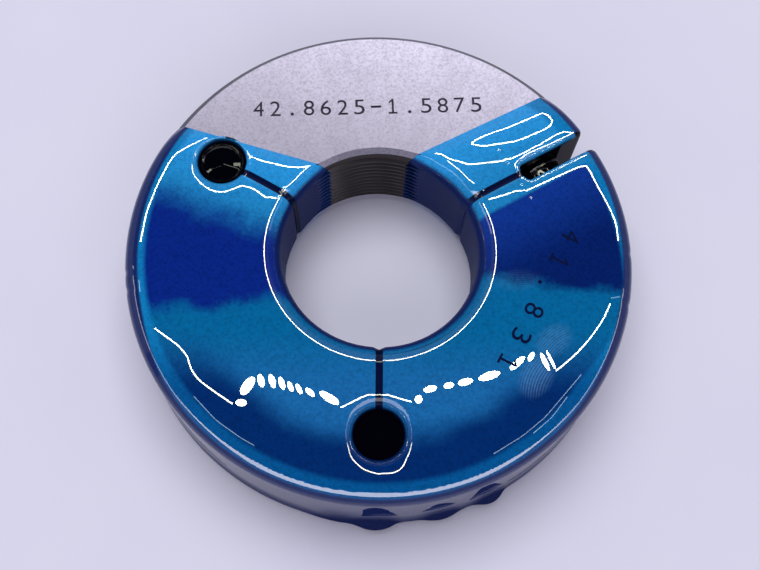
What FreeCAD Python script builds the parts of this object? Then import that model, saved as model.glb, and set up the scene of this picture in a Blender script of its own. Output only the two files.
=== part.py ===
"""Adjustable thread ring gauge, split and locked by a screw device, in its peelable dip coating.

The frame: +Z runs along the thread, and the origin is the middle of the bore, half way between the
two faces. The gauge lies on its underside. -Y was the lowest side while the coating drained.
All sizes are millimetres and all angles degrees, counted from +X about +Z.
"""
import os
from math import acos, atan2, cos, hypot, radians, remainder, sin, sqrt, tan, tau

import FreeCAD, Part
from FreeCAD import Vector

# Ring
OUTSIDE_DIAMETER = 101.6
THICKNESS = 20.64
EDGE_CHAMFER = 1.5
THREAD_MINOR = 41.14  # the thread itself is too fine for this model, so the bore is its crest cylinder
LEAD_IN_CHAMFER = 2.15

# Slots that let the ring flex, and the drilled holes that end two of them
FLEX_SLOT_ANGLES = (-90.0, 150.0)
SPLIT_ANGLE = 30.0
SLOT_WIDTH = 2.4
TERMINAL_HOLE_DIAMETER = 11.1
TERMINAL_HOLE_INSET = 12.45  # from the outside of the ring to the centre of the hole

# The split widens towards the outside
SPLIT_WIDE_WIDTH = 5.0
SPLIT_WIDE_DEPTH = 17.2
SPLIT_SHOULDER_RADIUS = 1.0

# Adjusting and locking device, on one line that crosses the split at a right angle
DEVICE_INSET = 10.0  # from the outside of the ring to that line, where the split crosses it
FIT_CLEARANCE = 0.03
SLEEVE_DIAMETER = 9.53
SHOULDER_WEB = 4.0  # between the sleeve's end and the locking screw's head
LOCK_RECESS = 8.07  # of the head below the mouth of its hole
LOCK_SHANK_DIAMETER = 6.35
LOCK_SHANK_SETBACK = 3.0  # of the shank's end inside the adjusting screw
LOCK_SHANK_CHAMFER = 0.9
LOCK_HEAD_DIAMETER = 9.5
LOCK_HEAD_HEIGHT = 5.2
LOCK_HEAD_EDGE = 0.5
LOCK_SLOT_WIDTH = 1.6
LOCK_SLOT_DEPTH = 2.3
PASSAGE_CLEARANCE = 0.25  # round the shank, in the sleeve and the web
COUNTERBORE_CLEARANCE = 0.5  # round the head
ADJUSTER_RECESS = 7.27  # of the adjusting screw below the mouth of its hole
ADJUSTER_DIAMETER = 12.7
ADJUSTER_LENGTH = 14.0
ADJUSTER_CHAMFER = 0.8
ADJUSTER_SLOT_WIDTH = 2.0
ADJUSTER_SLOT_DEPTH = 2.6
MOUTH_COUNTERSINK = 0.6

# Coating
COAT_FACE = 0.6  # over the two flat faces
COAT_RIM = 0.85  # over the outside, before it ran towards -Y
COAT_DRAIN = 0.45  # how far the outside of the coating is shifted towards -Y
COAT_BORE = 0.5
COAT_WALL = 0.575  # on the walls of the split's wide part
COAT_SHEATH = 0.6  # round the sleeve
COAT_EDGE_RADIUS = 2.2
COAT_MOUTH_FLARE = 2.3
LIP_RADIUS = 1.2
LIP_BREAK = 0.2  # how far above the face a lip's curve ends, so that it meets the face at an angle
CORNER_RADIUS = 1.3

# Where the coating ends: two straight edges, from two dips. Each is given by the direction of its
# dry side and its distance from the axis. The steel is bare where it lies beyond both.
DIP_EDGES = ((73.8, 14.2), (118.2, 15.0))

# The coating's hollows over what it closes
CUP_LINING = 0.5
CUP_DEPTH = 2.7
GROOVE_WIDTH = 1.45
GROOVE_DEPTH = 0.45
MOUTH_PLUG = 1.6  # how far the coating reaches into the locking screw's hole
MOUTH_DIMPLE_WIDTH = 8.0
MOUTH_DIMPLE_DEPTH = 0.9

# Drips along the lower edge: angle, reach beyond the coating, half width at the foot
DRIPS = ((-97.0, 0.55, 2.2), (-90.3, 2.2, 3.2), (-75.5, 1.5, 2.5), (-64.0, 1.9, 2.3))
DRIP_HEIGHT = 3.9  # of the middle of the foot above the underside
DRIP_FOOT = 0.6  # of a drop above the bottom, and half the height of its tip
DRIP_TIP_SHARE = 0.55  # the radius of the tip over the half width of the foot
DRIP_ROUNDING = 0.9  # of the largest rounding that the tip can take

TURNED_STEP = 1.1  # of a rounding's radius that one cone stands for on a turned form, to keep it light

RING_RADIUS = OUTSIDE_DIAMETER / 2
BORE_RADIUS = THREAD_MINOR / 2
STEEL_TOP = THICKNESS / 2
COAT_TOP = STEEL_TOP + COAT_FACE
BEYOND = OUTSIDE_DIAMETER  # longer than anything that a cut has to pass through
TERMINAL_HOLE_RADIUS = RING_RADIUS - TERMINAL_HOLE_INSET
SPLIT_WIDE_START = RING_RADIUS - SPLIT_WIDE_DEPTH
DEVICE_RADIUS = RING_RADIUS - DEVICE_INSET

# Places along the device's line, from the middle of the split, positive on the locking side
DEVICE_MOUTH = sqrt(RING_RADIUS**2 - DEVICE_RADIUS**2)
HEAD_TOP = DEVICE_MOUTH - LOCK_RECESS
HEAD_SEAT = HEAD_TOP - LOCK_HEAD_HEIGHT
SLEEVE_SHOULDER = HEAD_SEAT - SHOULDER_WEB
ADJUSTER_END = -DEVICE_MOUTH + ADJUSTER_RECESS
ADJUSTER_SEAT = ADJUSTER_END + ADJUSTER_LENGTH  # where it meets the sleeve
SHANK_TIP = ADJUSTER_END + LOCK_SHANK_SETBACK

COUNTERBORE_RADIUS = LOCK_HEAD_DIAMETER / 2 + COUNTERBORE_CLEARANCE
TAPPED_RADIUS = ADJUSTER_DIAMETER / 2 + FIT_CLEARANCE
REAMED_RADIUS = SLEEVE_DIAMETER / 2 + FIT_CLEARANCE
PASSAGE_RADIUS = LOCK_SHANK_DIAMETER / 2 + PASSAGE_CLEARANCE

ORIGIN = Vector(0, 0, 0)
UP = Vector(0, 0, 1)


def direction(angle):
    """The level unit vector at this angle."""
    return Vector(cos(radians(angle)), sin(radians(angle)), 0)


def corner_arc(before, corner, after):
    """Where the rounding of one corner starts and ends, and its centre."""
    u, v, radius = corner
    sides = []
    for other in (before, after):
        length = hypot(other[0] - u, other[1] - v)
        sides.append(((other[0] - u) / length, (other[1] - v) / length))
    half = acos(sides[0][0] * sides[1][0] + sides[0][1] * sides[1][1]) / 2
    middle = (sides[0][0] + sides[1][0], sides[0][1] + sides[1][1])
    reach = radius / sin(half) / hypot(*middle)
    centre = (u + reach * middle[0], v + reach * middle[1])
    first, last = [(u + radius / tan(half) * x, v + radius / tan(half) * y) for x, y in sides]
    return first, last, centre


def rounded_points(corners):
    """The corners of (u, v, radius), with each rounding drawn in straight steps."""
    points = []
    for i, corner in enumerate(corners):
        if not corner[2]:
            points.append(corner[:2])
            continue
        first, last, centre = corner_arc(corners[i - 1], corner, corners[(i + 1) % len(corners)])
        start = atan2(first[1] - centre[1], first[0] - centre[0])
        turn = remainder(atan2(last[1] - centre[1], last[0] - centre[0]) - start, tau)
        steps = max(1, round(corner[2] / TURNED_STEP))
        for step in range(steps + 1):
            angle = start + turn * step / steps
            points.append((centre[0] + corner[2] * cos(angle), centre[1] + corner[2] * sin(angle)))
    return points


def rounded_face(corners, place):
    """A face whose outline turns at corners of (u, v, radius), put in space by place(u, v)."""
    edges, ends = [], []
    for i, corner in enumerate(corners):
        if not corner[2]:
            ends.append((corner[:2], corner[:2]))
            continue
        first, last, centre = corner_arc(corners[i - 1], corner, corners[(i + 1) % len(corners)])
        ends.append((first, last))
        share = corner[2] / hypot(corner[0] - centre[0], corner[1] - centre[1])
        middle = [c + (k - c) * share for c, k in zip(centre, corner)]
        edges.append(Part.Arc(place(*first), place(*middle), place(*last)).toShape())
    for i, (_, last) in enumerate(ends):
        edges.append(Part.makeLine(place(*last), place(*ends[(i + 1) % len(ends)][0])))
    return Part.Face(Part.Wire(Part.__sortEdges__(edges)))


def turned(corners, centre=ORIGIN, axis=UP, across=Vector(1, 0, 0)):
    """A solid of revolution. Its corners are (distance from axis, place along axis, radius)."""
    points = [centre + across * u + axis * v for u, v in rounded_points(corners)]
    return Part.Face(Part.makePolygon(points + points[:1])).revolve(centre, axis, 360)


def radial_box(angle, start, end, width, low, high):
    """A box that runs outwards at this angle, from start to end."""
    box = Part.makeBox(end - start, width, high - low, Vector(start, -width / 2, low))
    return box.rotate(ORIGIN, UP, angle)


def blank():
    """The ring before anything is cut across it."""
    return turned([
        (BORE_RADIUS, -STEEL_TOP + LEAD_IN_CHAMFER, 0),
        (BORE_RADIUS + LEAD_IN_CHAMFER, -STEEL_TOP, 0),
        (RING_RADIUS - EDGE_CHAMFER, -STEEL_TOP, 0),
        (RING_RADIUS, -STEEL_TOP + EDGE_CHAMFER, 0),
        (RING_RADIUS, STEEL_TOP - EDGE_CHAMFER, 0),
        (RING_RADIUS - EDGE_CHAMFER, STEEL_TOP, 0),
        (BORE_RADIUS + LEAD_IN_CHAMFER, STEEL_TOP, 0),
        (BORE_RADIUS, STEEL_TOP - LEAD_IN_CHAMFER, 0),
    ])


def device_point(along):
    """A point on the device's line, this far from the split towards the locking side."""
    return direction(SPLIT_ANGLE) * DEVICE_RADIUS + direction(SPLIT_ANGLE - 90) * along


def on_device(corners):
    """A solid turned about the device's line. Its corners are (radius, place along it, rounding)."""
    return turned(corners, device_point(0), direction(SPLIT_ANGLE - 90), UP)


def device_holes():
    """The reamed hole for the sleeve, the hole through the web and the locking screw's counterbore."""
    return on_device([
        (0, ADJUSTER_SEAT, 0),
        (REAMED_RADIUS, ADJUSTER_SEAT, 0),
        (REAMED_RADIUS, SLEEVE_SHOULDER, 0),
        (PASSAGE_RADIUS, SLEEVE_SHOULDER, 0),
        (PASSAGE_RADIUS, HEAD_SEAT, 0),
        (COUNTERBORE_RADIUS, HEAD_SEAT, 0),
        (COUNTERBORE_RADIUS, BEYOND, 0),
        (0, BEYOND, 0),
    ])


def adjuster_hole():
    """The adjusting screw's tapped hole, with a broken edge at its mouth."""
    start, wide = MOUTH_COUNTERSINK - DEVICE_MOUTH, TAPPED_RADIUS + MOUTH_COUNTERSINK
    return on_device([
        (0, ADJUSTER_SEAT, 0),
        (TAPPED_RADIUS, ADJUSTER_SEAT, 0),
        (TAPPED_RADIUS, start + MOUTH_COUNTERSINK, 0),
        (wide, start, 0),
        (wide, -BEYOND, 0),
        (0, -BEYOND, 0),
    ])


def terminal_hole(angle):
    centre = direction(angle) * TERMINAL_HOLE_RADIUS
    return Part.makeCylinder(TERMINAL_HOLE_DIAMETER / 2, BEYOND, centre - UP * BEYOND / 2)


def split_prism(half_width, shoulder, corner, outside):
    """The split's wide part, right through, with its two corners at the outside rounded away."""
    start = SPLIT_WIDE_START
    edge = sqrt((outside + corner) ** 2 - (half_width + corner) ** 2) if corner else outside
    flare = half_width + corner
    corners = [(start, -half_width, shoulder)]
    if corner:
        corners += [(edge, -half_width, corner), (edge, -flare - corner, 0)]
    corners += [(BEYOND, corners[-1][1], 0), (BEYOND, -corners[-1][1], 0)]
    if corner:
        corners += [(edge, flare + corner, 0), (edge, half_width, corner)]
    corners += [(start, half_width, shoulder)]
    along, across = direction(SPLIT_ANGLE), direction(SPLIT_ANGLE + 90)
    outline = rounded_face(corners, lambda u, v: along * u + across * v - UP * BEYOND / 2)
    return outline.extrude(UP * BEYOND)


def gauge_ring():
    ring = blank()
    reach = TERMINAL_HOLE_RADIUS
    cuts = [radial_box(angle, 0, reach, SLOT_WIDTH, -BEYOND, BEYOND) for angle in FLEX_SLOT_ANGLES]
    cuts += [terminal_hole(angle) for angle in FLEX_SLOT_ANGLES]
    cuts += [radial_box(SPLIT_ANGLE, 0, SPLIT_WIDE_START + SLOT_WIDTH, SLOT_WIDTH, -BEYOND, BEYOND)]
    cuts += [split_prism(SPLIT_WIDE_WIDTH / 2, SPLIT_SHOULDER_RADIUS, 0, BEYOND)]
    cuts += [device_holes(), adjuster_hole()]
    return ring.cut(cuts)


def alignment_sleeve():
    return on_device([
        (PASSAGE_RADIUS, ADJUSTER_SEAT, 0),
        (SLEEVE_DIAMETER / 2, ADJUSTER_SEAT, 0),
        (SLEEVE_DIAMETER / 2, SLEEVE_SHOULDER, 0),
        (PASSAGE_RADIUS, SLEEVE_SHOULDER, 0),
    ])


def driver_slot(width, depth, along):
    """A screwdriver slot across the end that faces along, this deep."""
    end = device_point(along)
    away = direction(SPLIT_ANGLE - 90) * (1 if along > 0 else -1)
    across = UP.cross(away)
    corners = [(-width / 2, -depth, 0), (width / 2, -depth, 0), (width / 2, 1, 0), (-width / 2, 1, 0)]
    face = rounded_face(corners, lambda u, v: end - across * BEYOND / 2 + UP * u + away * v)
    return face.extrude(across * BEYOND)


def adjusting_screw():
    outer, inner = ADJUSTER_DIAMETER / 2, LOCK_SHANK_DIAMETER / 2 + FIT_CLEARANCE
    body = on_device([
        (inner, ADJUSTER_SEAT, 0),
        (outer - ADJUSTER_CHAMFER, ADJUSTER_SEAT, 0),
        (outer, ADJUSTER_SEAT - ADJUSTER_CHAMFER, 0),
        (outer, ADJUSTER_END + ADJUSTER_CHAMFER, 0),
        (outer - ADJUSTER_CHAMFER, ADJUSTER_END, 0),
        (inner, ADJUSTER_END, 0),
    ])
    return body.cut(driver_slot(ADJUSTER_SLOT_WIDTH, ADJUSTER_SLOT_DEPTH, ADJUSTER_END))


def locking_screw():
    shank, head = LOCK_SHANK_DIAMETER / 2, LOCK_HEAD_DIAMETER / 2
    body = on_device([
        (0, SHANK_TIP, 0),
        (shank - LOCK_SHANK_CHAMFER, SHANK_TIP, 0),
        (shank, SHANK_TIP + LOCK_SHANK_CHAMFER, 0),
        (shank, HEAD_SEAT, 0),
        (head, HEAD_SEAT, 0),
        (head, HEAD_TOP, LOCK_HEAD_EDGE),
        (0, HEAD_TOP, 0),
    ])
    return body.cut(driver_slot(LOCK_SLOT_WIDTH, LOCK_SLOT_DEPTH, HEAD_TOP))


def coating_envelope():
    """The outside of the coating, thicker towards -Y, with its flowing edges."""
    radius = RING_RADIUS + COAT_RIM
    disc = turned([
        (0, -COAT_TOP, 0),
        (radius, -COAT_TOP, COAT_EDGE_RADIUS),
        (radius, COAT_TOP, COAT_EDGE_RADIUS),
        (0, COAT_TOP, 0),
    ], Vector(0, -COAT_DRAIN, 0))
    inner = BORE_RADIUS - COAT_BORE
    wide, beyond = inner + 2 * COAT_MOUTH_FLARE, COAT_TOP + COAT_MOUTH_FLARE
    narrow = COAT_TOP - COAT_MOUTH_FLARE
    bore = turned([
        (0, -beyond, 0),
        (wide, -beyond, 0),
        (inner, -narrow, 0),
        (inner, narrow, 0),
        (wide, beyond, 0),
        (0, beyond, 0),
    ])
    return disc.cut(bore)


def lip_corners(half_width):
    """Half of the section of a hollow that runs right through, with a lip at each face."""
    wide, lip = half_width + 2 * LIP_RADIUS, COAT_TOP + LIP_BREAK
    return [
        (wide, -lip - LIP_RADIUS, 0), (wide, -lip, 0), (half_width, -lip, LIP_RADIUS),
        (half_width, lip, LIP_RADIUS), (wide, lip, 0), (wide, lip + LIP_RADIUS, 0),
    ]


def split_opening():
    """The space that the coating leaves in the split's wide part, with a lip along each wall."""
    half = SPLIT_WIDE_WIDTH / 2 - COAT_WALL
    opening = split_prism(half, SPLIT_SHOULDER_RADIUS, CORNER_RADIUS, RING_RADIUS + COAT_RIM)
    along, across = direction(SPLIT_ANGLE), direction(SPLIT_ANGLE + 90)
    start = along * (SPLIT_WIDE_START + SPLIT_SHOULDER_RADIUS)
    right = lip_corners(half)
    left = [(-u, v, radius) for u, v, radius in reversed(right)]
    section = rounded_face(right + left, lambda u, v: start + across * u + UP * v)
    return opening.fuse(section.extrude(along * BEYOND))


def cup(angle, top):
    """The hollow in the coating's plug of a terminal hole. Only the one in the top face has a lip."""
    radius = TERMINAL_HOLE_DIAMETER / 2 - CUP_LINING
    lip, wide = (LIP_RADIUS, radius + 2 * LIP_RADIUS) if top else (0, radius)
    away = UP if top else UP * -1
    return turned([
        (0, COAT_TOP - CUP_DEPTH, 0),
        (radius, COAT_TOP - CUP_DEPTH, 0),
        (radius, COAT_TOP + LIP_BREAK, lip),
    ] + [(wide, COAT_TOP + LIP_BREAK, 0)] * top + [
        (wide, COAT_TOP + LIP_RADIUS, 0),
        (0, COAT_TOP + LIP_RADIUS, 0),
    ], direction(angle) * TERMINAL_HOLE_RADIUS, away)


def grooves(angle, end):
    """The shallow hollows of the coating along a closed slot, on both faces and in the bore."""
    across = direction(angle + 90) * GROOVE_WIDTH
    hollows = []
    for away, start, length in (
        (UP, UP * COAT_TOP, direction(angle) * end),
        (UP * -1, UP * -COAT_TOP, direction(angle) * end),
        (direction(angle) * -1, direction(angle) * (BORE_RADIUS - COAT_BORE) - UP * COAT_TOP, UP * 2 * COAT_TOP),
    ):
        rise = away * GROOVE_DEPTH
        outline = Part.makePolygon([start + across + rise, start - rise, start - across + rise, start + across + rise])
        hollows.append(Part.Face(outline).extrude(length))
    return hollows


def dry_wedge():
    """The space beyond both dip edges."""
    halves = []
    for angle, distance in DIP_EDGES:
        half = Part.makeBox(BEYOND, 2 * BEYOND, 2 * BEYOND, Vector(distance, -BEYOND, -BEYOND))
        halves.append(half.rotate(ORIGIN, UP, angle))
    return halves[0].common(halves[1])


def drip(angle, reach, half_width):
    """A drop that set while it hung from the lower edge, pointed in plan and in side view."""
    surface = RING_RADIUS + COAT_RIM + COAT_DRAIN * cos(radians(angle + 90))
    tip = surface + reach
    tip_half = half_width * DRIP_TIP_SHARE
    rounding = min(tip_half, reach) * DRIP_ROUNDING
    outward, across = direction(angle), direction(angle + 90)
    plan = rounded_face([
        (RING_RADIUS, -half_width, 0), (surface, -half_width, 0), (tip, -tip_half, rounding),
        (tip, tip_half, rounding), (surface, half_width, 0), (RING_RADIUS, half_width, 0),
    ], lambda u, v: outward * u + across * v - UP * COAT_TOP)
    side = rounded_face([
        (RING_RADIUS, DRIP_FOOT, 0), (surface, DRIP_FOOT, 0), (tip, DRIP_HEIGHT - DRIP_FOOT, 0),
        (tip, DRIP_HEIGHT + DRIP_FOOT, 0), (surface, 2 * DRIP_HEIGHT, 0), (RING_RADIUS, 2 * DRIP_HEIGHT, 0),
    ], lambda u, v: outward * u - across * half_width + UP * (v - COAT_TOP))
    return plan.extrude(UP * COAT_TOP).common(side.extrude(across * 2 * half_width))


def sleeve_sheath():
    """The coating round the sleeve where it crosses the split. The sleeve is cut out of it later."""
    radius, half = SLEEVE_DIAMETER / 2 + COAT_SHEATH, SPLIT_WIDE_WIDTH / 2
    return on_device([(0, -half, 0), (radius, -half, 0), (radius, half, 0), (0, half, 0)])


def mouth_dimple():
    """The hollow that the coating sank to over the locking screw's hole."""
    sphere = (MOUTH_DIMPLE_WIDTH**2 / 4 + MOUTH_DIMPLE_DEPTH**2) / (2 * MOUTH_DIMPLE_DEPTH)
    mouth = device_point(DEVICE_MOUTH)
    outward = Vector(mouth.x, mouth.y, 0).normalize()
    return Part.makeSphere(sphere, outward * (RING_RADIUS + COAT_RIM + sphere - MOUTH_DIMPLE_DEPTH))


def dip_coating(ring):
    skin = coating_envelope()
    skin = skin.fuse([drip(*values) for values in DRIPS])
    hollows = [split_opening(), dry_wedge(), mouth_dimple()]
    for angle in FLEX_SLOT_ANGLES:
        hollows += [cup(angle, True), cup(angle, False)] + grooves(angle, TERMINAL_HOLE_RADIUS)
    hollows += grooves(SPLIT_ANGLE, SPLIT_WIDE_START + SPLIT_SHOULDER_RADIUS)
    skin = skin.cut(hollows).fuse(sleeve_sheath())
    core = Part.makeCylinder(RING_RADIUS - MOUTH_PLUG, THICKNESS, UP * -STEEL_TOP)
    return skin.cut([ring, device_holes().common(core), adjuster_hole(), alignment_sleeve(), locking_screw()])


def main():
    os.makedirs("parts", exist_ok=True)
    ring = gauge_ring()
    pieces = {
        "gauge_ring": ring,
        "alignment_sleeve": alignment_sleeve(),
        "adjusting_screw": adjusting_screw(),
        "locking_screw": locking_screw(),
        "dip_coating": dip_coating(ring),
    }
    for name, shape in pieces.items():
        box = shape.BoundBox
        print(name, "solids", len(shape.Solids), "valid", shape.isValid(),
              "volume", round(shape.Volume, 1), "x", round(box.XMin, 2), round(box.XMax, 2),
              "y", round(box.YMin, 2), round(box.YMax, 2), "z", round(box.ZMin, 2), round(box.ZMax, 2))
        shape.exportStep(f"parts/{name}.step")


main()
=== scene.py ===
"""Thread ring gauge in a blue dip coating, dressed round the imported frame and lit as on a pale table."""

from math import atan2, cos, degrees, pi, radians, sin, tau

import bmesh
import bpy
import numpy as np
from mathutils import Matrix, Quaternion, Vector


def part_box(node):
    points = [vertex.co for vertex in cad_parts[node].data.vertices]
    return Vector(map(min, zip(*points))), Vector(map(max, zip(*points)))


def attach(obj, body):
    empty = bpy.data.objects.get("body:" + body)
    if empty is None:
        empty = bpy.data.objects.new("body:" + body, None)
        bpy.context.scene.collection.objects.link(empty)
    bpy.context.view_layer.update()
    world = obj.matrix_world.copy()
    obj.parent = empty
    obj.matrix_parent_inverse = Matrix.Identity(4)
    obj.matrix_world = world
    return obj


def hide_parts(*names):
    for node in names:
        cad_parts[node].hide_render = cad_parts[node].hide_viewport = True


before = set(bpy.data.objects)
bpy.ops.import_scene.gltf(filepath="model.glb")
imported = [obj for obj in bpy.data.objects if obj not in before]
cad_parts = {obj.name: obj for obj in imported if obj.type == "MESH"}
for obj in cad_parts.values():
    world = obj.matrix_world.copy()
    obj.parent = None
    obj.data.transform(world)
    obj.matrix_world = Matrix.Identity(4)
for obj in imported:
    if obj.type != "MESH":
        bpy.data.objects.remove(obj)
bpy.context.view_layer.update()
scene = bpy.context.scene
scene.view_settings.view_transform = "Standard"
MM = 0.001

# Gauge ring. One turned and ground ring of hardened tool steel with the gauging thread in its bore.
# Its rim is knurled, and it is sawn through at the split and part way at two flex slots. Lengths are in mm.
RING_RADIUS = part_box("gauge_ring")[1].x / MM
HALF_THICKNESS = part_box("gauge_ring")[1].z / MM
MINOR_RADIUS = 20.57
THREAD_PITCH = 1.5875
THREAD_DEPTH = 0.86
THREAD_CREST = 0.20  # flat crest, as a share of the pitch
THREAD_FLANKS = 0.62  # both flanks together, as a share of the pitch
THREADED_REACH = 2.3  # how far above the crests a point still belongs to the bore
LEAD_IN = 2.15
EDGE_CHAMFER = 1.5
SLANT = 0.7071  # sine of a chamfer's 45 degrees
KNURL_TEETH = 176
KNURL_DEPTH = 0.28
KNURL_SLOPE = 0.577  # tangent of the grooves' 30 degrees from the axis
KNURL_INSET = 0.02  # of the knurl's outer rows from the chamfers
BARE_ARC = (36, 160)  # degrees round the ring, a little wider than the steel left bare
BARE_STEP = 0.5
COATED_STEP = 2.0
THREAD_ROWS = 9  # rows of vertices to one pitch of the thread
KNURL_ROWS = 46

SPLIT_ANGLE = 30
FLEX_SLOT_ANGLES = (-90, 150)
SLOT_WIDTH = 2.4
TERMINAL_HOLE_RADIUS = 38.35
TERMINAL_HOLE_DIAMETER = 11.1
SPLIT_WIDE_WIDTH = 5.0
SPLIT_WIDE_START = 33.6
DEVICE_RADIUS = 40.8
SLEEVE_RADIUS = 4.795
PASSAGE_RADIUS = 3.425
ADJUSTER_RADIUS = 6.38
COUNTERBORE_RADIUS = 5.25
SLEEVE_SPAN = (-9.0, 13.0)  # along the device's line, from the split
SHOULDER_END = 17.0
BEYOND = 60.0  # well outside the ring, where cutters end


def link(obj):
    scene.collection.objects.link(obj)
    return obj


def mesh_object(name, points, faces):
    """An object from points in millimetres, in the row's frame."""
    mesh = bpy.data.meshes.new(name)
    mesh.from_pydata((np.asarray(points) * MM).tolist(), [], faces)
    mesh.update()
    return link(bpy.data.objects.new(name, mesh))


def mesh_points(mesh):
    """The mesh's points in metres, one to a row."""
    flat = np.empty(len(mesh.vertices) * 3)
    mesh.vertices.foreach_get("co", flat)
    return flat.reshape(-1, 3)


def lathe(name, profile, angles):
    """A closed ring: a section of (radius, height) turned about the Z axis."""
    count, rows = len(angles), len(profile)
    points = [(r * cos(a), r * sin(a), z) for a in angles for r, z in profile]
    faces = []
    for i in range(count):
        j = (i + 1) % count
        for k in range(rows):
            n = (k + 1) % rows
            faces.append((i * rows + k, j * rows + k, j * rows + n, i * rows + n))
    return mesh_object(name, points, faces)


def worked(name, work):
    """An object from a bmesh, which is used up."""
    mesh = bpy.data.meshes.new(name)
    work.to_mesh(mesh)
    work.free()
    return link(bpy.data.objects.new(name, mesh))


def bar(name, radius, low, high):
    """A round bar along its own +Z, as a cutter."""
    work = bmesh.new()
    bmesh.ops.create_cone(work, cap_ends=True, segments=64, radius1=radius * MM, radius2=radius * MM,
                          depth=(high - low) * MM, matrix=Matrix.Translation((0, 0, (low + high) / 2 * MM)))
    return worked(name, work)


def block(name, low, high, turn):
    """A box between two corners, turned about the ring's axis, as a cutter."""
    work = bmesh.new()
    low, high = Vector(low), Vector(high)
    bmesh.ops.create_cube(work, size=1)
    bmesh.ops.scale(work, vec=(high - low) * MM, verts=work.verts)
    bmesh.ops.translate(work, vec=(low + high) / 2 * MM, verts=work.verts)
    obj = worked(name, work)
    obj.data.transform(Matrix.Rotation(radians(turn), 4, "Z"))
    return obj


def baked(obj):
    """The object with its modifiers worked into a plain mesh."""
    bpy.context.view_layer.update()
    done = bpy.data.meshes.new_from_object(obj.evaluated_get(bpy.context.evaluated_depsgraph_get()))
    old = obj.data
    obj.modifiers.clear()
    obj.data = done
    bpy.data.meshes.remove(old)
    return obj


def carve(obj, cutters):
    """The object less its cutters, which are used up."""
    for cutter in cutters:
        change = obj.modifiers.new("cut", "BOOLEAN")
        change.operation = "DIFFERENCE"
        change.solver = "MANIFOLD"
        change.object = cutter
        baked(obj)
        bpy.data.objects.remove(cutter)
    return obj


class Tree:
    """Writes node trees in the order in which they read."""

    def __init__(self, tree):
        self.tree = tree

    def node(self, kind, *values, **settings):
        """A node with its settings, and values for its inputs in their order."""
        made = self.tree.nodes.new(kind)
        for key, value in settings.items():
            setattr(made, key, value)
        for socket, value in zip([s for s in made.inputs if s.enabled], values):
            self.give(socket, value)
        return made

    def give(self, socket, value):
        """Links a socket to an input or writes a plain value to it. None leaves it alone."""
        if isinstance(value, bpy.types.NodeSocket):
            self.tree.links.new(value, socket)
        elif value is not None:
            socket.default_value = value

    def math(self, operation, *values, clamp=False):
        return self.node("ShaderNodeMath", *values, operation=operation, use_clamp=clamp).outputs[0]

    def plus(self, a, b):
        return self.math("ADD", a, b)

    def minus(self, a, b):
        return self.math("SUBTRACT", a, b)

    def times(self, a, b, clamp=False):
        return self.math("MULTIPLY", a, b, clamp=clamp)

    def between(self, value, low, high):
        """1 where a value lies between two others, otherwise 0."""
        return self.times(self.math("GREATER_THAN", value, low), self.math("LESS_THAN", value, high))

    def length(self, a, b):
        """The length of a flat vector."""
        return self.math("SQRT", self.plus(self.times(a, a), self.times(b, b)))

    def split(self, vector):
        return self.node("ShaderNodeSeparateXYZ", vector).outputs

    def join(self, *values):
        return self.node("ShaderNodeCombineXYZ", *values).outputs[0]

    def ramp(self, value, low, high, start=0.0, end=1.0):
        """A smooth step from start at low to end at high."""
        return self.node("ShaderNodeMapRange", value, low, high, start, end,
                         interpolation_type="SMOOTHSTEP").outputs[0]


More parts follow.
